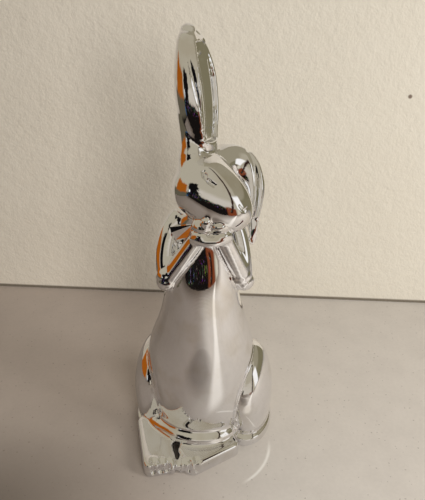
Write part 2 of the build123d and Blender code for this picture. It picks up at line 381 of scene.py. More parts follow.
@dataclass
class Skin:
    """The glazed skin over all the castings, fused, softened, worked and parted again.

    Attributes:
        grain: Size of the cells that the clay is fused with.
        soften_rounds: How many times the whole fused skin is smoothed.
        settle_rounds: How many times the parting lines are evened out.
        own_votes: What a face's own casting counts among its neighbours' castings.
        needed_votes: What a casting has to count to take a face over.
        broad: The castings with wide round forms.
        broad_rounds: How many times the wide round forms are smoothed.
        rings: How many rings of corners are counted from a joint outwards.
        clear_of_joint: How far from a joint the wide smoothing starts.
        foot_line: Height below which the wide smoothing stays off.
        broad_fade: Over what distance the wide smoothing grows to its full strength.
        broad_steps: In how many steps it does so.
        fine_under: Half widths of strokes, each making the mesh finer under the narrower ones.
        fine_rounds: How many times the finer mesh is smoothed.
        stroke_rounds: How many times the skin is smoothed before the strokes and after them.
        facings: The parts that face another way than the clay.
    """

    grain: float = 0.7
    soften_rounds: int = 12
    settle_rounds: int = 8
    own_votes: int = 2
    needed_votes: int = 3
    broad: tuple[Casting, ...] = (
        Casting.TORSO,
        Casting.HEAD,
        Casting.RIGHT_HAUNCH,
        Casting.LEFT_HAUNCH,
        Casting.TAIL,
    )
    broad_rounds: int = 160
    rings: int = 14
    clear_of_joint: float = 3.0
    foot_line: float = 15.0
    broad_fade: float = 5.0
    broad_steps: int = 8
    fine_under: Span = (1.25, 0.8)
    fine_rounds: int = 6
    stroke_rounds: int = 2
    facings: tuple[Facing, ...] = (
        Facing(Casting.TORSO, (1.0, -28.0, 158.0), (40.0, 60.0, 58.0), 19.0),
        Facing(Casting.RAISED_EAR, (0.0, 0.0, 262.0), (60.0, 60.0, 90.0), -5.0),
    )

    def copy_casting(self, casting: Casting, frame: dict) -> bpy.types.Object:
        """Copies a solid and welds the copy's loose triangles.

        Args:
            casting: The casting.
            frame: The loaded frame.

        Returns:
            The copy.
        """
        source = frame["nodes"][casting.value]
        copy = bpy.data.objects.new(casting.value + "_clay", source.data.copy())
        bpy.context.collection.objects.link(copy)
        copy.data.materials.clear()
        pick(copy)
        bpy.ops.object.mode_set(mode="EDIT")
        bpy.ops.mesh.select_all(action="SELECT")
        bpy.ops.mesh.remove_doubles(threshold=1e-6)
        bpy.ops.object.mode_set(mode="OBJECT")
        return copy

    def fuse(self, lumps: list[bpy.types.Object]) -> bpy.types.Object:
        """Joins the clay into one skin and drops the shells inside it.

        Args:
            lumps: Closed meshes that touch or overlap.

        Returns:
            The outer skin.
        """
        bpy.ops.object.select_all(action="DESELECT")
        for lump in lumps:
            lump.select_set(True)
        bpy.context.view_layer.objects.active = lumps[0]
        bpy.ops.object.join()
        skin = bpy.context.object
        skin.name = "glazed_skin"
        skin.data.materials.clear()
        apply(skin, "REMESH", mode="VOXEL", voxel_size=self.grain * MM, use_smooth_shade=True)
        self.keep_outside(skin)
        apply(skin, "SMOOTH", factor=0.5, iterations=self.soften_rounds)
        return skin

    def keep_outside(self, skin: bpy.types.Object) -> None:
        """Deletes every shell of the skin but the outer one.

        Args:
            skin: The fused skin.
        """
        heights = read(skin.data.vertices, "co", 3)[:, 2]
        pick(skin)
        mark(skin, corners=np.arange(len(heights)) == heights.argmax())
        bpy.ops.object.mode_set(mode="EDIT")
        bpy.ops.mesh.select_linked()
        bpy.ops.mesh.select_all(action="INVERT")
        bpy.ops.mesh.delete(type="VERT")
        bpy.ops.object.mode_set(mode="OBJECT")

    def label(self, skin: bpy.types.Object, frame: dict) -> None:
        """Gives each face of the skin the number of the casting that it belongs to.

        Args:
            skin: The fused skin.
            frame: The loaded frame.
        """
        corners: list[Vector] = []
        triangles: list[list[int]] = []
        numbers: list[int] = []
        data = skin.data
        for index, casting in enumerate(Casting):
            solid = frame["nodes"][casting.value].data
            start = len(corners)
            corners.extend(vert.co for vert in solid.vertices)
            triangles.extend([start + number for number in face.vertices] for face in solid.polygons)
            numbers.extend([index] * len(solid.polygons))
            data.materials.append(bpy.data.materials.new(casting.value + "_part"))
        tree = BVHTree.FromPolygons(corners, triangles)
        nearest = np.array([numbers[tree.find_nearest(face.center)[2]] for face in data.polygons])
        data.polygons.foreach_set("material_index", self.settle(data, nearest).astype(np.int32))

    def settle(self, data: bpy.types.Mesh, nearest: np.ndarray) -> np.ndarray:
        """Evens out the parting lines by letting each face follow most of its neighbours.

        Args:
            data: The skin's mesh.
            nearest: The casting of each face.

        Returns:
            The settled casting of each face.
        """
        edges = read(data.loops, "edge_index")
        totals = read(data.polygons, "loop_total")
        faces = np.repeat(np.arange(len(totals)), totals)
        order = np.argsort(edges, kind="stable")
        shared = edges[order][1:] == edges[order][:-1]
        ones = faces[order][1:][shared]
        others = faces[order][:-1][shared]
        rows = np.arange(len(nearest))
        kinds = len(Casting)
        for _ in range(self.settle_rounds):
            seen = np.concatenate([ones * kinds + nearest[others], others * kinds + nearest[ones]])
            votes = np.bincount(seen, minlength=len(nearest) * kinds).reshape(-1, kinds)
            votes[rows, nearest] += self.own_votes
            best = votes.argmax(1)
            nearest = np.where(votes[rows, best] >= self.needed_votes, best, nearest)
        return nearest

    def count_rings(self, data: bpy.types.Mesh) -> np.ndarray:
        """Counts how many corners away the nearest joint between two castings is.

        Args:
            data: The skin's mesh.

        Returns:
            The number of rings at each corner, and one more than the last ring beyond it.
        """
        spread = np.repeat(read(data.polygons, "material_index"), read(data.polygons, "loop_total"))
        corners = read(data.loops, "vertex_index")
        lowest = np.full(len(data.vertices), len(Casting))
        highest = np.full(len(data.vertices), -1)
        np.minimum.at(lowest, corners, spread)
        np.maximum.at(highest, corners, spread)
        ring = np.where(lowest != highest, 0, self.rings + 1)
        ends = read(data.edges, "vertices", 2)
        for _ in range(self.rings):
            step = np.minimum(ring[ends[:, 0]], ring[ends[:, 1]]) + 1
            np.minimum.at(ring, ends[:, 0], step)
            np.minimum.at(ring, ends[:, 1], step)
        return ring

    def smooth_broad(self, skin: bpy.types.Object) -> None:
        """Smooths the wide round forms, away from their joints and from the foot line.

        Args:
            skin: The labelled skin.
        """
        data = skin.data
        clear = self.count_rings(data) * self.grain - self.clear_of_joint
        wide = np.array([casting in self.broad for casting in Casting])[owners(data)]
        heights = read(data.vertices, "co", 3)[:, 2] / MM
        share = np.clip(clear / self.broad_fade, 0, 1)
        share *= wide * np.clip((heights - self.foot_line) / self.broad_fade, 0, 1)
        levels = np.round(share * self.broad_steps).astype(int)
        group = skin.vertex_groups.new(name="broad")
        for level in range(1, self.broad_steps + 1):
            group.add(np.flatnonzero(levels == level).tolist(), level / self.broad_steps, "REPLACE")
        apply(skin, "SMOOTH", factor=0.5, iterations=self.broad_rounds, vertex_group="broad")
        skin.vertex_groups.clear()

    def refine(self, skin: bpy.types.Object, strokes: list[Stroke]) -> None:
        """Makes the mesh finer under the narrow strokes.

        Args:
            skin: The labelled skin.
            strokes: All the strokes.
        """
        for limit in self.fine_under:
            middles = read(skin.data.polygons, "center", 3)
            chosen = np.zeros(len(middles), bool)
            for stroke in strokes:
                if stroke.half_width < limit:
                    chosen[stroke.gaps(skin, middles)[0]] = True
            pick(skin)
            mark(skin, faces=chosen)
            bpy.ops.object.mode_set(mode="EDIT")
            bpy.ops.mesh.subdivide(number_cuts=1)
            bpy.ops.mesh.vertices_smooth(factor=0.5, repeat=self.fine_rounds)
            bpy.ops.object.mode_set(mode="OBJECT")

    def press(self, skin: bpy.types.Object, strokes: list[Stroke]) -> None:
        """Presses and raises the strokes.

        Args:
            skin: The labelled skin.
            strokes: The strokes, in order.
        """
        self.refine(skin, strokes)
        apply(skin, "SMOOTH", factor=0.5, iterations=self.stroke_rounds)
        data = skin.data
        for stroke in strokes:
            bpy.context.view_layer.update()
            spots = read(data.vertices, "co", 3)
            outward = read(data.vertex_normals, "vector", 3)
            near, gaps = stroke.gaps(skin, spots)
            share = np.exp(-((gaps / (stroke.half_width * MM)) ** 2))
            spots[near] -= outward[near] * (stroke.depth * MM * share)[:, None]
            data.vertices.foreach_set("co", spots.ravel())
            data.update()
        apply(skin, "SMOOTH", factor=0.4, iterations=self.stroke_rounds)

    def part(self, skin: bpy.types.Object) -> dict[Casting, bpy.types.Object]:
        """Parts the skin into one closed piece for each casting.

        Args:
            skin: The finished skin.

        Returns:
            The piece of each casting.
        """
        data = skin.data
        spots, outward = read(data.vertices, "co", 3), read(data.vertex_normals, "vector", 3)
        for facing in self.facings:
            own = owners(data) == list(Casting).index(facing.casting)
            outward = facing.lean(spots, outward, own)
        kept = data.attributes.new("glaze_normal", "FLOAT_VECTOR", "POINT")
        kept.data.foreach_set("vector", outward.astype(np.float32).ravel())
        pick(skin)
        bpy.ops.object.mode_set(mode="EDIT")
        bpy.ops.mesh.select_all(action="SELECT")
        bpy.ops.mesh.separate(type="MATERIAL")
        bpy.ops.object.mode_set(mode="OBJECT")
        pieces = {}
        for piece in list(bpy.context.selected_objects):
            slot = piece.data.polygons[0].material_index
            casting = Casting(piece.data.materials[slot].name.removesuffix("_part"))
            self.close(piece)
            piece.data.materials.clear()
            piece.name = casting.value + "_glazed"
            pieces[casting] = piece
        return pieces

    def close(self, piece: bpy.types.Object) -> None:
        """Caps a parted piece and shades it so that the parting line doesn't show.

        Args:
            piece: One casting's part of the skin.
        """
        data = piece.data
        count = len(data.polygons)
        pick(piece)
        bpy.context.tool_settings.mesh_select_mode = (False, True, False)
        bpy.ops.object.mode_set(mode="EDIT")
        bpy.ops.mesh.select_all(action="DESELECT")
        bpy.ops.mesh.select_non_manifold(
            extend=False, use_wire=False, use_multi_face=False, use_non_contiguous=False, use_verts=False
        )
        bpy.ops.mesh.fill_holes(sides=0)
        bpy.ops.object.mode_set(mode="OBJECT")
        mark(piece, faces=np.arange(len(data.polygons)) >= count)
        bpy.ops.object.mode_set(mode="EDIT")
        bpy.ops.mesh.quads_convert_to_tris(quad_method="BEAUTY", ngon_method="BEAUTY")
        bpy.ops.object.mode_set(mode="OBJECT")
        data.shade_smooth()
        totals = read(data.polygons, "loop_total")
        flat = np.repeat(read(data.polygons, "normal", 3), totals, axis=0)
        shading = read(data.attributes["glaze_normal"].data, "vector", 3)[read(data.loops, "vertex_index")]
        capped = np.repeat(np.arange(len(totals)) >= count, totals)
        shading[capped] = flat[capped]
        data.attributes.remove(data.attributes["glaze_normal"])
        data.normals_split_custom_set(shading.tolist())


@dataclass(frozen=True)
class Pattern:
    """A cloudy pattern.

    Attributes:
        scale: How small its clouds are.
        detail: How many finer layers it has.
        rough: How strong the finer layers are.
        span: Where it starts to show and where it is full, if it isn't used as it comes.
    """

    scale: float
    detail: float = 2.0
    rough: float = 0.5
    span: Span | None = None


@dataclass(frozen=True)
class Edge:
    """A soft limit of a wash.

    Attributes:
        way: The axis that it is measured along, or the point that it lies around.
        span: Where the wash starts and where it is full, or a band's two ends.
        soft: Half the width of a band's soft ends, if it is a band.
    """

    way: Axis | Triple
    span: Span
    soft: float = 0.0


@dataclass(frozen=True)
class Wash:
    """A thin colour laid over a finish.

    Attributes:
        shade: Its colour as the eye reads it.
        share: How much of it shows at most.
        edges: Its limits, which all hold.
        pattern: The pattern that it follows, if any.
        mirrored: True if only the plating shows it, and false if the plating alone doesn't.
    """

    shade: Shade
    share: float
    edges: tuple[Edge, ...] = ()
    pattern: Pattern | None = None
    mirrored: bool | None = None


@dataclass
class Bench:
    """Lays out and wires the nodes of one material or of the world.

    Attributes:
        tree: The node tree that is being wired.
    """

    tree: bpy.types.NodeTree

    def node(self, kind: str, **settings: object) -> bpy.types.Node:
        """Adds a node.

        Args:
            kind: Blender's name for the node.
            settings: Its options.

        Returns:
            The node.
        """
        made = self.tree.nodes.new(kind)
        for key, value in settings.items():
            setattr(made, key, value)
        return made

    def join(self, value: object, socket: Socket) -> None:
        """Links a socket to another, or sets a plain value on it.

        Args:
            value: A socket or a value.
            socket: The socket that takes it.
        """
        if isinstance(value, Socket):
            self.tree.links.new(value, socket)
        else:
            socket.default_value = value

    def math(self, operation: str, first: object, second: object = 0.0) -> Socket:
        """Works out one sum.

        Args:
            operation: Blender's name for the sum.
            first: A socket or a number.
            second: A socket or a number.

        Returns:
            The result.
        """
        made = self.node("ShaderNodeMath", operation=operation)
        self.join(first, made.inputs[0])
        self.join(second, made.inputs[1])
        return made.outputs[0]

    def times(self, *factors: object) -> Socket:
        """Multiplies sockets and numbers.

        Args:
            factors: Two or more of them.

        Returns:
            The product.
        """
        product = factors[0]
        for factor in factors[1:]:
            product = self.math("MULTIPLY", product, factor)
        return product

    def rise(self, value: object, span: Span, unit: float = 1.0) -> Socket:
        """Rises smoothly from 0 at the start of a span to 1 at its end.

        Args:
            value: What is compared with the span.
            span: The start and the end, which may be the lower of the two.
            unit: What the span is measured in.

        Returns:
            The share.
        """
        made = self.node("ShaderNodeMapRange", interpolation_type="SMOOTHSTEP")
        self.join(value, made.inputs["Value"])
        made.inputs["From Min"].default_value = span[0] * unit
        made.inputs["From Max"].default_value = span[1] * unit
        return made.outputs["Result"]

    def band(self, value: object, span: Span, soft: float, unit: float = 1.0) -> Socket:
        """Is 1 inside a span, and falls off over a soft edge on each side.

        Args:
            value: What is compared with the span.
            span: The lower and the upper end.
            soft: Half the width of each edge.
            unit: What the span and the edge are measured in.

        Returns:
            The share.
        """
        low, high = span
        up = self.rise(value, (low - soft, low + soft), unit)
        down = self.rise(value, (high - soft, high + soft), unit)
        return self.math("SUBTRACT", up, down)

    def blend(self, share: object, below: object, above: object) -> Socket:
        """Mixes two colours.

        Args:
            share: How much of the second colour shows.
            below: First colour, as a socket or a value.
            above: Second colour, as a socket or a value.

        Returns:
            The mixed colour.
        """
        made = self.node("ShaderNodeMix", data_type="RGBA")
        self.join(share, made.inputs[0])
        self.join(below, made.inputs[6])
        self.join(above, made.inputs[7])
        return made.outputs[2]

    def limit(self, place: Socket, edge: Edge) -> Socket:
        """Tells how much of a wash one of its edges leaves.

        Args:
            place: The place on the object.
            edge: The edge.

        Returns:
            A share from 0 to 1.
        """
        if isinstance(edge.way, Axis):
            value = self.axis(place, edge.way)
        else:
            gap = self.node("ShaderNodeVectorMath", operation="DISTANCE")
            self.join(place, gap.inputs[0])
            self.join(metres(edge.way), gap.inputs[1])
            value = gap.outputs["Value"]
        return self.band(value, edge.span, edge.soft, MM) if edge.soft else self.rise(value, edge.span, MM)

    def wash(self, tone: Socket, wash: Wash, place: Socket, *where: Socket) -> Socket:
        """Lays a wash over a colour.

        Args:
            tone: The colour below.
            wash: The wash.
            place: The place on the object.
            where: Shares that are multiplied into where it shows.

        Returns:
            The washed colour.
        """
        shares = [*where, *(self.limit(place, edge) for edge in wash.edges)]
        if wash.pattern:
            shares.append(self.noise(place, wash.pattern))
        if wash.mirrored is not None:
            glossy = self.ray(Ray.GLOSSY)
            shares.append(glossy if wash.mirrored else self.math("SUBTRACT", 1.0, glossy))
        return self.blend(self.times(*shares, wash.share), tone, linear(wash.shade))

    def axis(self, place: Socket, way: Axis) -> Socket:
        """Takes one axis out of a place or direction.

        Args:
            place: The place or direction.
            way: The axis.

        Returns:
            The number along that axis.
        """
        split = self.node("ShaderNodeSeparateXYZ")
        self.join(place, split.inputs[0])
        return split.outputs[way.value]

    def noise(self, place: Socket, pattern: Pattern) -> Socket:
        """Makes a cloudy pattern.

        Args:
            place: What the pattern follows.
            pattern: The pattern.

        Returns:
            A share from 0 to 1.
        """
        made = self.node("ShaderNodeTexNoise")
        self.join(place, made.inputs["Vector"])
        made.inputs["Scale"].default_value = pattern.scale
        made.inputs["Detail"].default_value = pattern.detail
        made.inputs["Roughness"].default_value = pattern.rough
        cloud = made.outputs["Fac"]
        return self.rise(cloud, pattern.span) if pattern.span else cloud

    def bump(self, height: Socket, distance: float, strength: float = 1.0, under: object = None) -> Socket:
        """Makes a surface look uneven.

        Args:
            height: The heights, from 0 to 1.
            distance: What a height of 1 stands for.
            strength: How much of it shows.
            under: Another unevenness below this one, if any.

        Returns:
            The direction that the surface faces in.
        """
        made = self.node("ShaderNodeBump")
        made.inputs["Strength"].default_value = strength
        made.inputs["Distance"].default_value = distance * MM
        self.join(height, made.inputs["Height"])
        if under:
            self.join(under, made.inputs["Normal"])
        return made.outputs["Normal"]

    def ray(self, kind: Ray) -> Socket:
        """Tells whether the ray is of one kind."""
        return self.node("ShaderNodeLightPath").outputs[kind.value]

    def open_up(self, shader: bpy.types.Node, hidden: Socket) -> None:
        """Lets rays through a surface.

        Args:
            shader: The surface's shader.
            hidden: Where the rays go through.
        """
        open_air = self.node("ShaderNodeBsdfTransparent")
        mix = self.node("ShaderNodeMixShader")
        self.join(hidden, mix.inputs[0])
        self.join(shader.outputs[0], mix.inputs[1])
        self.join(open_air.outputs[0], mix.inputs[2])
        self.join(mix.outputs[0], self.tree.nodes["Material Output"].inputs["Surface"])


def new_finish(name: str) -> tuple[bpy.types.Material, Bench, bpy.types.Node, Socket]:
    """Starts a material.

    Args:
        name: Its name.

    Returns:
        The material, the bench with its nodes, its shader and the place on the object.
    """
    finish = bpy.data.materials.new(name)
    finish.use_nodes = True
    bench = Bench(finish.node_tree)
    place = bench.node("ShaderNodeTexCoord").outputs["Object"]
    return finish, bench, finish.node_tree.nodes["Principled BSDF"], place


@dataclass(frozen=True)
class MirrorPlating:
    """Bright silver plating over a glaze that isn't quite even.

    Attributes:
        silver: Its colour as the eye reads it.
        tarnish: Its colour where it has dulled a little.
        dulled: The pattern of the tarnish.
        blur: The least and the most that its reflections are blurred.
        smears: The pattern of the blur.
        wave: Height of the glaze's slow waves.
        waves: Their pattern.
        peel: Height of its fine orange peel.
        pores: The pattern of the peel.
    """

    silver: Shade = (243, 243, 246)
    tarnish: Shade = (232, 229, 226)
    dulled: Pattern = Pattern(55, 3, 0.5, (0.45, 0.75))
    blur: Span = (0.03, 0.075)
    smears: Pattern = Pattern(90, 4, 0.6)
    wave: float = 0.03
    waves: Pattern = Pattern(45, 1)
    peel: float = 0.0012
    pores: Pattern = Pattern(900, 1)

    def make(self) -> bpy.types.Material:
        """Makes the plating.

        Returns:
            The material.
        """
        plating, bench, shader, place = new_finish("silver_plating")
        shader.inputs["Metallic"].default_value = 1.0
        dull = bench.noise(place, self.dulled)
        tone = bench.blend(dull, linear(self.silver), linear(self.tarnish))
        bench.join(tone, shader.inputs["Base Color"])
        blur = bench.node("ShaderNodeMapRange")
        bench.join(bench.noise(place, self.smears), blur.inputs["Value"])
        bench.join(self.blur[0], blur.inputs["To Min"])
        bench.join(self.blur[1], blur.inputs["To Max"])
        bench.join(blur.outputs["Result"], shader.inputs["Roughness"])
        swell = bench.bump(bench.noise(place, self.waves), self.wave)
        glaze = bench.bump(bench.noise(place, self.pores), self.peel, under=swell)
        bench.join(glaze, shader.inputs["Normal"])
        return plating


@dataclass
class Modelling:
    """The small forms that are worked into the clay by hand.

    Attributes:
        lumps: Balls of clay: the fills of the head and the raised ear, the elbows and knuckles.
        rolls: Rolls of clay: the torso's fill, the lap, cuff and upper arms, and the ears' edges.
        eye: The three lines of the closed eye.
        raised_ear: The crease and the rim of the raised ear.
        lop_ear: The groove and the rim of the hanging ear.
        nose: The two lines of the nose, and the mouth.
        scoop: The trough of the raised ear.
        clefts: How far across each cleft between two toes lies, and how far along it ends.
        cleft_run: How far behind its end each point of a cleft lies, and how high.
        paws: The gap between the feet, and the valley between the cuff and the paws.
    """

    lumps: tuple[Lump, ...] = (
        Lump("head_fill", (5.5, -6.7, 198.5), (20, 18, 19)),
        Lump("raised_ear_fill", (0.9, 2.4, 259), (4.6, 12.6, 35), (0, -6, -27)),
        Lump("right_elbow", (-22.8, -15.8, 141.6), (8.3, 8, 8.4)),
        Lump("left_elbow", (26.6, -10.8, 138.2), (8.4, 8, 8.6)),
        Lump("right_knuckle", (3, -26.8, 183.6), (3.4, 2.8, 4.6), (20, 0, 0)),
        Lump("left_knuckle", (11, -27.2, 181.4), (4.2, 2.8, 3.2)),
    )
    rolls: tuple[Roll, ...] = (
        Roll("torso_fill", (
            (0, 3, 9, 31), (0, 3.5, 24, 34.5), (0, 3.5, 44, 36), (0, 2, 64, 36.3),
            (0, -0.5, 80, 35), (0, -3, 96, 30.8), (0, -5.6, 112, 26), (0, -7.3, 128, 21.5),
            (0, -6.4, 144, 17), (0, -2, 156, 9), (0, 0, 166, 7), (0, 0, 180, 7),
        )),
        Roll("lap", (
            (-40, -8, 8, 6), (-34, -15, 10, 7.5), (-26, -20, 11.5, 9),
            (-17, -27, 12, 10), (-7, -31, 12, 10), (4, -31, 12, 10),
            (12, -28.5, 11.5, 9.5), (19, -23.5, 11, 8), (25, -17, 10, 6),
        )),
        Roll("cuff", (
            (-5.5, -22.5, 173, 3.6), (-1, -25.5, 172, 4.4), (6.5, -26.8, 171.5, 4.6),
            (14, -25, 172, 4.4), (18, -21.5, 173.5, 3.6),
        )),
        Roll("right_upper_arm", (
            (-13, 0, 180, 6.5), (-19, -3, 173.5, 7), (-22.6, -6, 165, 7.2),
            (-24.9, -10, 154, 7), (-24.6, -14, 145, 6.8), (-23.5, -16.5, 141, 6),
        )),
        Roll("left_upper_arm", (
            (14, 1, 182, 6), (22.5, -1, 174, 6.5), (25.6, -4, 163, 6.7),
            (27.8, -7.5, 151, 6.6), (28.8, -10.5, 140, 6.2),
        )),
        Roll("ear_root", (
            (-8.5, -2, 272, 3.5), (-9.2, -4, 258, 5.6), (-8.2, -4, 245, 6),
            (-5.6, -3.5, 233, 6.8), (-4.8, -3.5, 226, 8.2), (-4.6, -5, 217, 10.2),
            (-4.6, -6, 208, 11),
        )),
        Roll("raised_ear_edge", (
            (10.2, 6, 230, 1.3), (10.3, 10.3, 236, 1.4), (10.6, 12, 247, 1.4),
            (10.2, 12.7, 259, 1.4), (8.8, 12.3, 269, 1.4), (5.7, 10.2, 280, 1.4),
            (2.5, 8, 288, 1.3), (-2, 6, 294, 1.2),
        )),
        Roll("raised_ear_tip", (
            (-6.5, 0, 295.6, 2.2), (-3, 2.5, 294.4, 2.2), (0, 5, 291.4, 2),
            (2.8, 7.5, 287, 1.8),
        )),
        Roll("lop_ear_edge", (
            (32, 13.4, 217.5, 1.3), (38.6, 10.8, 208.5, 1.4), (41.4, 8.2, 199, 1.4),
            (41.5, 7, 192, 1.4), (40.2, 5.2, 182, 1.4), (37.6, 2.4, 172, 1.3),
            (34.6, 0.6, 163, 1.2),
        )),
    )
    eye: tuple[Stroke, ...] = (
        Stroke(((1.8, -21.8, 216.4), (1.9, -22.8, 215.2), (2.3, -23.7, 214)), 1.5, 1.35),
        Stroke(((2.1, -23.2, 214.6), (3.2, -24.6, 212.6), (4.8, -25.2, 211.3)), 1, 0.85),
        Stroke(((5, -25.2, 211.2), (6.5, -25.6, 210.1), (8.3, -25.9, 208.8)), 1.5, 1.35),
    )
    raised_ear: tuple[Stroke, ...] = (
        Stroke((
            (-9, -4.6, 291), (-7.2, -9.9, 283.7), (-5, -13.1, 274.2), (-2.3, -14.4, 263.2),
            (0.5, -13.5, 251.4), (2.8, -11.5, 242), (4.8, -8.5, 233),
        ), depth=1, half_width=1.3),
        Stroke((
            (-3.7, 0.5, 296.2), (-2.4, -8.6, 284), (-1.3, -11.2, 276.7), (0.1, -13.2, 265.8),
            (1.8, -12.8, 253), (4, -11, 242), (6.5, -8, 233),
        ), depth=-0.9, half_width=1.7),
    )
    lop_ear: tuple[Stroke, ...] = (
        Stroke((
            (31.5, 13.8, 219.2), (35.3, 9.6, 211.6), (36.3, 7.1, 204.1), (36.7, 5.1, 194.3),
            (36.2, 3.5, 185.6), (34.8, 1.8, 178),
        ), depth=0.9, half_width=1.3),
        Stroke((
            (34.5, 12.8, 218), (38.1, 11.1, 211.1), (39.8, 7.9, 203.8), (40.6, 5.5, 194.1),
            (40.1, 4, 185.4), (37.8, 1.3, 176.4),
        ), depth=-0.9, half_width=1.7),
    )
    nose: tuple[Stroke, ...] = (
        Stroke(((24, -26.3, 195.3), (25.6, -26, 192.9), (27.3, -25.2, 191.5)), 0.25, 0.9),
        Stroke(((27.3, -25.2, 191.5), (29, -23.3, 192.8)), 0.25, 0.9),
        Stroke(((21.8, -26.4, 181.6), (24, -26.3, 182.9), (26.1, -26, 185.1)), 0.6, 0.8),
    )
    scoop: Stroke = Stroke(
        ((4.6, 0.2, 236), (4.6, 0.3, 246), (4.1, 0.4, 257), (2.9, 0.4, 268), (0.9, 0.5, 279)),
        depth=2.6,
        half_width=4.6,
    )
    clefts: tuple[Span, ...] = (
        (-35.9, -57.6), (-30.5, -57.9), (-25.1, -58.2), (-10.6, -58.4), (-5.2, -57.2)
    )
    cleft_run: tuple[Span, ...] = ((4.5, 12), (1.5, 10), (0, 4))
    paws: tuple[Stroke, ...] = (
        Stroke(((-17.5, -49, 12), (-17.5, -54, 9), (-17.5, -57, 4)), 2, 1.6),
        Stroke((
            (-6.5, -23.5, 178), (-0.8, -28.5, 177.8), (5.4, -28.5, 177),
            (11.7, -29, 177.4), (18.4, -25.5, 178),
        ), depth=1.6, half_width=1.7),
    )

    def clay(self) -> list[bpy.types.Object]:
        """Makes the added clay."""
        return [form.make() for form in (*self.lumps, *self.rolls)]

    def strokes(self) -> list[Stroke]:
        """Lists every stroke, in the order that they are worked in.

        Returns:
            The strokes.
        """
        toes = []
        for across, front in self.clefts:
            path = tuple((across, front + back, height) for back, height in self.cleft_run)
            toes.append(Stroke(path, depth=2.6, half_width=1.8))
        face = [*self.eye, *self.raised_ear, *self.lop_ear, *self.nose, self.scoop]
        return [*face, *toes, *self.paws]


@dataclass
class Ornament:
    """The whole figure.

    Attributes:
        skin: How its skin is fused, softened and parted.
        modelling: The small forms that are added to the castings.
        plating: Its finish.
    """

    skin: Skin
    modelling: Modelling
    plating: MirrorPlating

    def build(self, frame: dict) -> list[bpy.types.Object]:
        """Builds every piece of the figure and lets it ride on the frame.

        Args:
            frame: The loaded frame.

        Returns:
            The finished pieces.
        """
        clay = [self.skin.copy_casting(casting, frame) for casting in Casting]
        clay.extend(self.modelling.clay())
        skin = self.skin.fuse(clay)
        LOG.info("skin fused: %d faces", len(skin.data.polygons))
        self.skin.label(skin, frame)
        self.skin.smooth_broad(skin)
        self.skin.press(skin, self.modelling.strokes())
        LOG.info("skin worked: %d faces", len(skin.data.polygons))
        pieces = self.skin.part(skin)
        finish = self.plating.make()
        for casting, piece in pieces.items():
            piece.data.materials.append(finish)
            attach(piece, "root")
            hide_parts(casting.value)
        return list(pieces.values())


def board(name: str, sides: Span, place: Triple, turn: Triple = (0.0, 0.0, 0.0)) -> bpy.types.Object:
    """Makes a flat board.

    Args:
        name: Its name.
        sides: Its width and its length.
        place: Its middle.
        turn: Its turns about X, Y and Z.

    Returns:
        The board.
    """
    bpy.ops.object.select_all(action="DESELECT")
    bpy.ops.mesh.primitive_plane_add(
        size=1, location=metres(place), rotation=[math.radians(angle) for angle in turn]
    )
    made = bpy.context.object
    made.name = name
    made.scale = (sides[0] * MM, sides[1] * MM, 1)
    bpy.ops.object.transform_apply(location=True, rotation=True, scale=True)
    return made


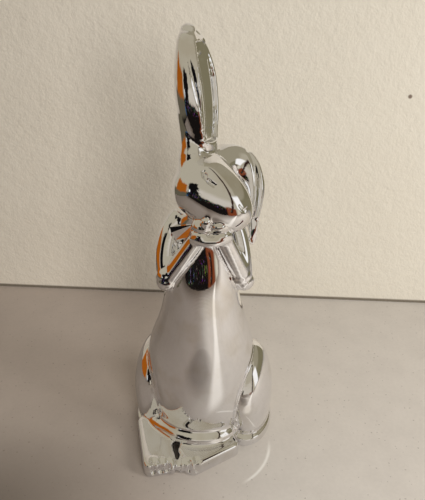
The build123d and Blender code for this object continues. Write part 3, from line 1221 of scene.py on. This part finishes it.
@dataclass(frozen=True)
class PaleTable:
    """The finish of the matt table top, with painted shade at its left and painted light at its right.

    Attributes:
        shaded: Its colour at the left, darkened by painted shade.
        mirrored: Its colour at the left as the plating mirrors it, with more painted shade.
        lit: Its colour at the right, brightened by painted light.
        lit_across: Where, across the table, the painted light starts and is full.
        washes: Its grain, stains and specks, painted shade at its front left and at its near end, and a
            painted shadow in front that only the plating mirrors.
        streak: A bright bent streak of painted light that only the plating mirrors.
        streak_start: Where the streak starts along the table and across it.
        streak_slope: How far it goes across for each step ahead.
        streak_bend: How much it bends on from there, for each metre.
        streak_sides: How far it goes to the left and right of its middle line.
        streak_soft: How soft its sides are.
        bow: The thin bow of painted light beside the figure's foot.
        relief: Height of the unevenness.
        bumps: The pattern of that.
    """

    shaded: Shade = (196, 183, 172)
    mirrored: Shade = (166, 155, 146)
    lit: Shade = (214, 207, 199)
    lit_across: Span = (-70, 60)
    washes: tuple[Wash, ...] = (
        Wash((120, 110, 102), 0.06, pattern=Pattern(320, 3, 0.6, (0.25, 0.75))),
        Wash((110, 100, 96), 0.07, pattern=Pattern(40, 2, 0.5, (0.3, 0.8))),
        Wash((90, 70, 60), 0.4, pattern=Pattern(480, 0, 0.0, (0.79, 0.81))),
        # Painted shade at the front left, which the plating doesn't mirror.
        Wash(
            (112, 102, 92),
            0.95,
            (Edge(Axis.ACROSS, (20, -160)), Edge(Axis.ALONG, (50, -100))),
            mirrored=False,
        ),
        # Painted shade at the near end of the table.
        Wash((84, 70, 58), 0.8, (Edge(Axis.ALONG, (-200, -340)),)),
        # A painted shadow in front of the figure, which only the plating mirrors.
        Wash((92, 82, 76), 0.6, (Edge((-12, -165, 0), (85, 30)),), mirrored=True),
    )
    streak: Wash = Wash(
        (252, 247, 240), 0.9, (Edge(Axis.ALONG, (-60, -85)), Edge(Axis.ALONG, (-400, -260))), mirrored=True
    )
    streak_start: Span = (-84, 38)
    streak_slope: float = 0.45
    streak_bend: float = 2.2
    streak_sides: Span = (-18, 28)
    streak_soft: float = 13
    bow: Wash = Wash(
        (255, 252, 246),
        0.85,
        (
            Edge((5, -25, 0), (44.8, 46.2), 1.2),
            Edge(Axis.ALONG, (-66, -30), 8),
            Edge(Axis.ACROSS, (25, 35)),
        ),
    )
    relief: float = 0.05
    bumps: Pattern = Pattern(260, 3)

    def make(self, front_edge: Span, left_edge: Span) -> bpy.types.Material:
        """Makes the finish.

        Args:
            front_edge: Where, along the table, it ends for the plating.
            left_edge: Where, across the table, it ends for the plating.

        Returns:
            The material.
        """
        finish, bench, shader, place = new_finish("pale_table")
        shader.inputs["Roughness"].default_value = 0.6
        shader.inputs["Specular IOR Level"].default_value = 0.2
        across, along = bench.axis(place, Axis.ACROSS), bench.axis(place, Axis.ALONG)
        mirrored = bench.ray(Ray.GLOSSY)
        # Painted shade at the left, darker still where the plating mirrors it, and painted light at the
        # right.
        tone = bench.blend(mirrored, linear(self.shaded), linear(self.mirrored))
        tone = bench.blend(bench.rise(across, self.lit_across, MM), tone, linear(self.lit))
        for wash in self.washes:
            tone = bench.wash(tone, wash, place)
        # Painted light: a bright streak that only the plating mirrors.
        tone = bench.wash(tone, self.streak, place, self.streak_side(bench, across, along))
        # Painted light: the thin bright bow beside the figure's foot.
        tone = bench.wash(tone, self.bow, place)
        bench.join(tone, shader.inputs["Base Color"])
        bench.join(bench.bump(bench.noise(place, self.bumps), self.relief), shader.inputs["Normal"])
        past_front, past_left = bench.rise(along, front_edge, MM), bench.rise(across, left_edge, MM)
        past = bench.math("MAXIMUM", past_front, past_left)
        bench.open_up(shader, bench.times(past, mirrored))
        return finish

    def streak_side(self, bench: Bench, across: Socket, along: Socket) -> Socket:
        """Tells where, across the table, the streak of painted light lies.

        Args:
            bench: The bench with the finish's nodes.
            across: Place across the table.
            along: Place along the table.

        Returns:
            The share of it that shows.
        """
        start, left = self.streak_start
        ahead = bench.math("SUBTRACT", start * MM, along)
        bend = bench.times(ahead, ahead, self.streak_bend)
        middle = bench.math("ADD", bench.times(ahead, self.streak_slope), bend)
        middle = bench.math("ADD", middle, left * MM)
        return bench.band(bench.math("SUBTRACT", across, middle), self.streak_sides, self.streak_soft, MM)


@dataclass
class Table:
    """The pale table top under the figure.

    Attributes:
        reach: How far the top goes to each side and forward for the camera.
        back: How far it goes back, behind the wall.
        front_edge: How far in front its edge lies for the plating.
        left_edge: How far to the image's left its edge lies for the plating.
        fade: How far those edges take to fade out.
        finish: Its finish.
    """

    reach: float = 1500.0
    back: float = 260.0
    front_edge: float = 345.0
    left_edge: float = 480.0
    fade: float = 4.0
    finish: PaleTable = PaleTable()

    def build(self) -> bpy.types.Object:
        """Lays the table top.

        Returns:
            The table top.
        """
        sides = (2 * self.reach, self.reach + self.back)
        top = board("table_top", sides, (0.0, (self.back - self.reach) / 2, 0.0))
        ends = [(-edge, -edge - self.fade) for edge in (self.front_edge, self.left_edge)]
        top.data.materials.append(self.finish.make(*ends))
        return top


@dataclass(frozen=True)
class CreamPlaster:
    """The finish of the wall: rough cream plaster, seen from its front only.

    Attributes:
        plaster: Its colour at the right.
        painted_light_left: Its colour at the left, made lighter by painted light.
        painted_light_across: Where, across the wall, the painted light at the left starts to fade and
            where it is gone.
        washes: Its faint clouds, the painted shade along its foot and a small dark spot.
        lumps: The pattern of its trowelled lumps.
        crumbs: The pattern of its crumbs.
        crumb_share: How high the crumbs are beside the lumps.
        relief: Height of the lumps.
        relief_share: How much of that height shows.
    """

    plaster: Shade = (224, 217, 203)
    painted_light_left: Shade = (232, 223, 208)
    painted_light_across: Span = (-160, 140)
    washes: tuple[Wash, ...] = (
        Wash((196, 184, 164), 0.10, pattern=Pattern(12, 3, 0.6, (0.3, 0.7))),
        # Painted shade along the foot of the wall, where it meets the table.
        Wash((104, 94, 80), 0.9, (Edge(Axis.UPWARD, (4.2, 2.2)),)),
        Wash((84, 56, 40), 0.8, (Edge((196, 180, 222), (2.6, 1.2)),)),
    )
    lumps: Pattern = Pattern(110, 4, 0.62)
    crumbs: Pattern = Pattern(420, 3, 0.6)
    crumb_share: float = 0.35
    relief: float = 1.5
    relief_share: float = 0.8

    def make(self, left_end: Span, right_end: Span) -> bpy.types.Material:
        """Makes the finish.

        Args:
            left_end: Where, across the wall, it ends at the left for the plating.
            right_end: Where it ends at the right for the plating.

        Returns:
            The material.
        """
        finish, bench, shader, place = new_finish("cream_plaster")
        shader.inputs["Roughness"].default_value = 0.9
        across = bench.axis(place, Axis.ACROSS)
        # Painted light at the left of the wall, giving way to the plain plaster at the right.
        plaster_share = bench.rise(across, self.painted_light_across, MM)
        tone = bench.blend(plaster_share, linear(self.painted_light_left), linear(self.plaster))
        for wash in self.washes:
            tone = bench.wash(tone, wash, place)
        bench.join(tone, shader.inputs["Base Color"])
        crumbs = bench.times(bench.noise(place, self.crumbs), self.crumb_share)
        lumps = bench.math("ADD", bench.noise(place, self.lumps), crumbs)
        bench.join(bench.bump(lumps, self.relief, self.relief_share), shader.inputs["Normal"])
        past_left, past_right = bench.rise(across, left_end, MM), bench.rise(across, right_end, MM)
        past = bench.math("MAXIMUM", past_left, past_right)
        behind = bench.node("ShaderNodeNewGeometry").outputs["Backfacing"]
        bench.open_up(shader, bench.math("MAXIMUM", bench.times(past, bench.ray(Ray.GLOSSY)), behind))
        return finish


@dataclass
class Wall:
    """The plastered wall behind the table.

    Attributes:
        width: How wide it is.
        height: How high it is.
        distance: How far behind the figure it stands.
        turn: How far it is turned.
        left_end: Where it ends at the image's left for the plating.
        right_end: Where it ends at the image's right for the plating.
        fade: How far those ends take to fade out.
        finish: Its finish.
    """

    width: float = 2400.0
    height: float = 900.0
    distance: float = 199.5
    turn: float = -5.8
    left_end: float = -360.0
    right_end: float = 190.0
    fade: float = 4.0
    finish: CreamPlaster = CreamPlaster()

    def build(self) -> bpy.types.Object:
        """Stands the wall up.

        Returns:
            The wall.
        """
        middle = (0.0, self.distance, self.height / 2)
        face = board("plaster_wall", (self.width, self.height), middle, (90.0, 0.0, self.turn))
        left = (self.left_end, self.left_end - self.fade)
        right = (self.right_end, self.right_end + self.fade)
        face.data.materials.append(self.finish.make(left, right))
        return face


@dataclass(frozen=True)
class Screen:
    """A coloured studio screen that only the plating mirrors.

    Attributes:
        shade: Its colour as the eye reads it.
        turn: Where it starts and ends, from the front towards the image's right.
        rise: Where it starts and ends above the horizon.
        soft: How soft its edges are.
        lean: How far it moves to the right for each degree upwards.
        ragged: How far its edges wander.
        rise_share: How much of that its edges wander up and down.
    """

    shade: Shade
    turn: Span
    rise: Span
    soft: float = 1.5
    lean: float = 0.0
    ragged: float = 0.0
    rise_share: float = 0.6

    def shown(self, bench: Bench, turn: Socket, lift: Socket, wander: Socket) -> Socket:
        """Tells where the screen shows.

        Args:
            bench: The bench with the world's nodes.
            turn: How far from the front towards the image's right a ray goes.
            lift: How far above the horizon it goes.
            wander: How its edges wander.

        Returns:
            The share of it that shows.
        """
        stray = bench.times(wander, self.ragged)
        across = bench.math("SUBTRACT", turn, bench.times(lift, self.lean))
        across = bench.math("ADD", across, stray)
        up = bench.math("ADD", lift, bench.times(stray, self.rise_share))
        beside, above = bench.band(across, self.turn, self.soft), bench.band(up, self.rise, self.soft)
        return bench.times(beside, above)


@dataclass
class Room:
    """The soft light of the room and the screens that the plating mirrors.

    Attributes:
        light: Colour of the light.
        strength: Strength of the light.
        backdrop: What the camera sees beside the wall.
        walls: What the plating mirrors beside the screens.
        screens: The screens, each over the ones before it, with a painted glint and a painted highlight
            among them.
        edges: The pattern that the screens' edges wander with.
        wander: How far they wander with it.
        glint_scale: How many coloured glints there are.
        glint_size: How far from its middle a glint starts and is full.
        glint_turn: Where the glints start and end, from the front towards the right.
        glint_rise: Where they start and end above the horizon.
        glint_soft: How softly they do so, across and upwards.
        glint_share: How much of them shows.
    """

    light: Shade = (214, 212, 209)
    strength: float = 0.36
    backdrop: Shade = (219, 211, 196)
    walls: Shade = (176, 168, 148)
    screens: tuple[Screen, ...] = (
        Screen((152, 144, 122), (55, 180), (-90, 90), 4.0, 0.5),
        Screen((200, 192, 178), (-24, 42), (-8, 10), 6.0),
        Screen((124, 117, 92), (74, 152), (-14, 13), 3.0),
        Screen((22, 18, 16), (-140, 40), (-90, -8), 2.0, 0.0, 3.0),
        Screen((92, 86, 70), (-140, -60), (-24, -8), 2.5, 0.0, 3.0),
        Screen((156, 84, 20), (-114, -62), (-10, 15), 2.5, 0.0, 5.0),
        Screen((16, 14, 14), (-54, -22), (-16, 24), 2.0, 0.0, 7.0),
        Screen((122, 62, 36), (20, 44), (-30, -6), 2.5, 0.0, 1.0),
        Screen((210, 203, 184), (48, 58), (-30, -6), 2.0),
        Screen((62, 50, 34), (62, 82), (-30, -9), 2.0, 0.0, 1.0),
        Screen((52, 90, 130), (-60, -55), (-22, -15), 1.5, 0.0, 2.0),
        # A small painted glint.
        Screen((236, 238, 240), (-51, -46), (-6, 2), 1.0, 0.0, 2.0),
        Screen((46, 26, 20), (36, 42), (-20, 75), 1.5, 0.5, 1.5),
        # A painted highlight: the side lamp as the plating mirrors it, since the lamp itself is hidden
        # from the plating.
        Screen((255, 253, 248), (52, 74), (-4, 21), 2.5),
    )
    edges: Pattern = Pattern(9, 3, 0.7)
    wander: float = 4.0
    glint_scale: float = 26.0
    glint_size: Span = (0.28, 0.16)
    glint_turn: Span = (-60.0, 34.0)
    glint_rise: Span = (-17.0, -7.0)
    glint_soft: Span = (3.0, 2.0)
    glint_share: float = 0.6

    def build(self) -> bpy.types.World:
        """Makes the world's light.

        Returns:
            The world.
        """
        world = bpy.data.worlds.new("room")
        bpy.context.scene.world = world
        world.use_nodes = True
        bench = Bench(world.node_tree)
        direction = bench.node("ShaderNodeTexCoord").outputs["Generated"]
        ahead = bench.times(bench.axis(direction, Axis.ALONG), -1.0)
        degree = 180 / math.pi
        turn = bench.times(bench.math("ARCTAN2", bench.axis(direction, Axis.ACROSS), ahead), degree)
        lift = bench.times(bench.math("ARCSINE", bench.axis(direction, Axis.UPWARD)), degree)
        cloud = bench.math("SUBTRACT", bench.noise(direction, self.edges), 0.5)
        wander = bench.times(cloud, self.wander)
        seen = linear(self.walls)
        for screen in self.screens:
            seen = bench.blend(screen.shown(bench, turn, lift, wander), seen, linear(screen.shade))
        glints = bench.node("ShaderNodeTexVoronoi")
        bench.join(direction, glints.inputs["Vector"])
        bench.join(self.glint_scale, glints.inputs["Scale"])
        spark = bench.rise(glints.outputs["Distance"], self.glint_size)
        across = bench.band(turn, self.glint_turn, self.glint_soft[0])
        upward = bench.band(lift, self.glint_rise, self.glint_soft[1])
        spark = bench.times(spark, across, upward, self.glint_share)
        seen = bench.blend(spark, seen, glints.outputs["Color"])
        light = [part * self.strength for part in linear(self.light)[:3]] + [1.0]
        plain = bench.blend(bench.ray(Ray.CAMERA), light, linear(self.backdrop))
        shown = bench.blend(bench.ray(Ray.GLOSSY), plain, seen)
        bench.join(shown, world.node_tree.nodes["Background"].inputs["Color"])
        return world


@dataclass(frozen=True)
class SoftLamp:
    """A soft square lamp that shines on the figure's middle.

    Attributes:
        name: Name of the lamp.
        turn: Where it stands, from the front towards the image's right.
        rise: How high it stands above the figure's middle.
        away: How far it stands from the figure's middle.
        size: Length of its sides.
        watts: Its power.
        shade: Its colour as the eye reads it.
        middle: The figure's middle.
    """

    name: str
    turn: float
    rise: float
    away: float
    size: float
    watts: float
    shade: Shade = (255, 253, 249)
    middle: Triple = (0.0, 0.0, 140.0)

    def build(self) -> bpy.types.Object:
        """Sets the lamp.

        Returns:
            The lamp.
        """
        data = bpy.data.lights.new(self.name, "AREA")
        data.shape = "SQUARE"
        data.size = self.size * MM
        data.energy = self.watts
        data.color = linear(self.shade)[:3]
        lamp = bpy.data.objects.new(self.name, data)
        bpy.context.collection.objects.link(lamp)
        turn, rise = math.radians(self.turn), math.radians(self.rise)
        out = Vector((math.sin(turn) * math.cos(rise), -math.cos(turn) * math.cos(rise), math.sin(rise)))
        lamp.location = metres(self.middle) + out * self.away * MM
        lamp.rotation_euler = (-out).to_track_quat("-Z", "Y").to_euler()
        # The plating doesn't mirror the lamps; the side lamp's highlight is painted into the room as a
        # screen.
        lamp.visible_glossy = False
        return lamp


@dataclass
class Viewpoint:
    """The camera, placed as the photographer stood.

    Attributes:
        back: How far in front of the figure it stands.
        height: How high it stands above the table.
        pitch: How far it looks down.
        aim: How far it looks to the right.
        focal: Its focal length.
        sensor: Width of its sensor.
        near: How close it still sees.
    """

    back: float = 348.18
    height: float = 322.34
    pitch: float = 26.0
    aim: float = 1.2556
    focal: float = 47.435
    sensor: float = 36.0
    near: float = 10.0

    def build(self) -> bpy.types.Object:
        """Sets the camera.

        Returns:
            The camera.
        """
        data = bpy.data.cameras.new("viewpoint")
        data.sensor_fit = "HORIZONTAL"
        data.sensor_width = self.sensor
        data.lens = self.focal
        data.clip_start = self.near * MM
        camera = bpy.data.objects.new("viewpoint", data)
        bpy.context.collection.objects.link(camera)
        camera.location = (0, -self.back * MM, self.height * MM)
        camera.rotation_euler = (math.radians(90 - self.pitch), 0, math.radians(-self.aim))
        bpy.context.scene.camera = camera
        return camera


def main() -> None:
    """Builds the camera, the table and wall, the room's light and the ornament."""
    logging.basicConfig(level=logging.INFO, format="%(asctime)s %(name)s: %(message)s")
    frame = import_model()
    bpy.context.scene.view_settings.view_transform = "Standard"
    surroundings = (
        Viewpoint(),
        Table(),
        Wall(),
        Room(),
        SoftLamp("room_light", 17, 16, 900, 320, 4.6),
        SoftLamp("side_light", 62, 24, 800, 260, 2.8),
    )
    for part in surroundings:
        LOG.info("%s is in place", part.build().name)
    for piece in Ornament(Skin(), Modelling(), MirrorPlating()).build(frame):
        LOG.info("%s: %d faces", piece.name, len(piece.data.polygons))


if __name__ == "__main__":
    main()
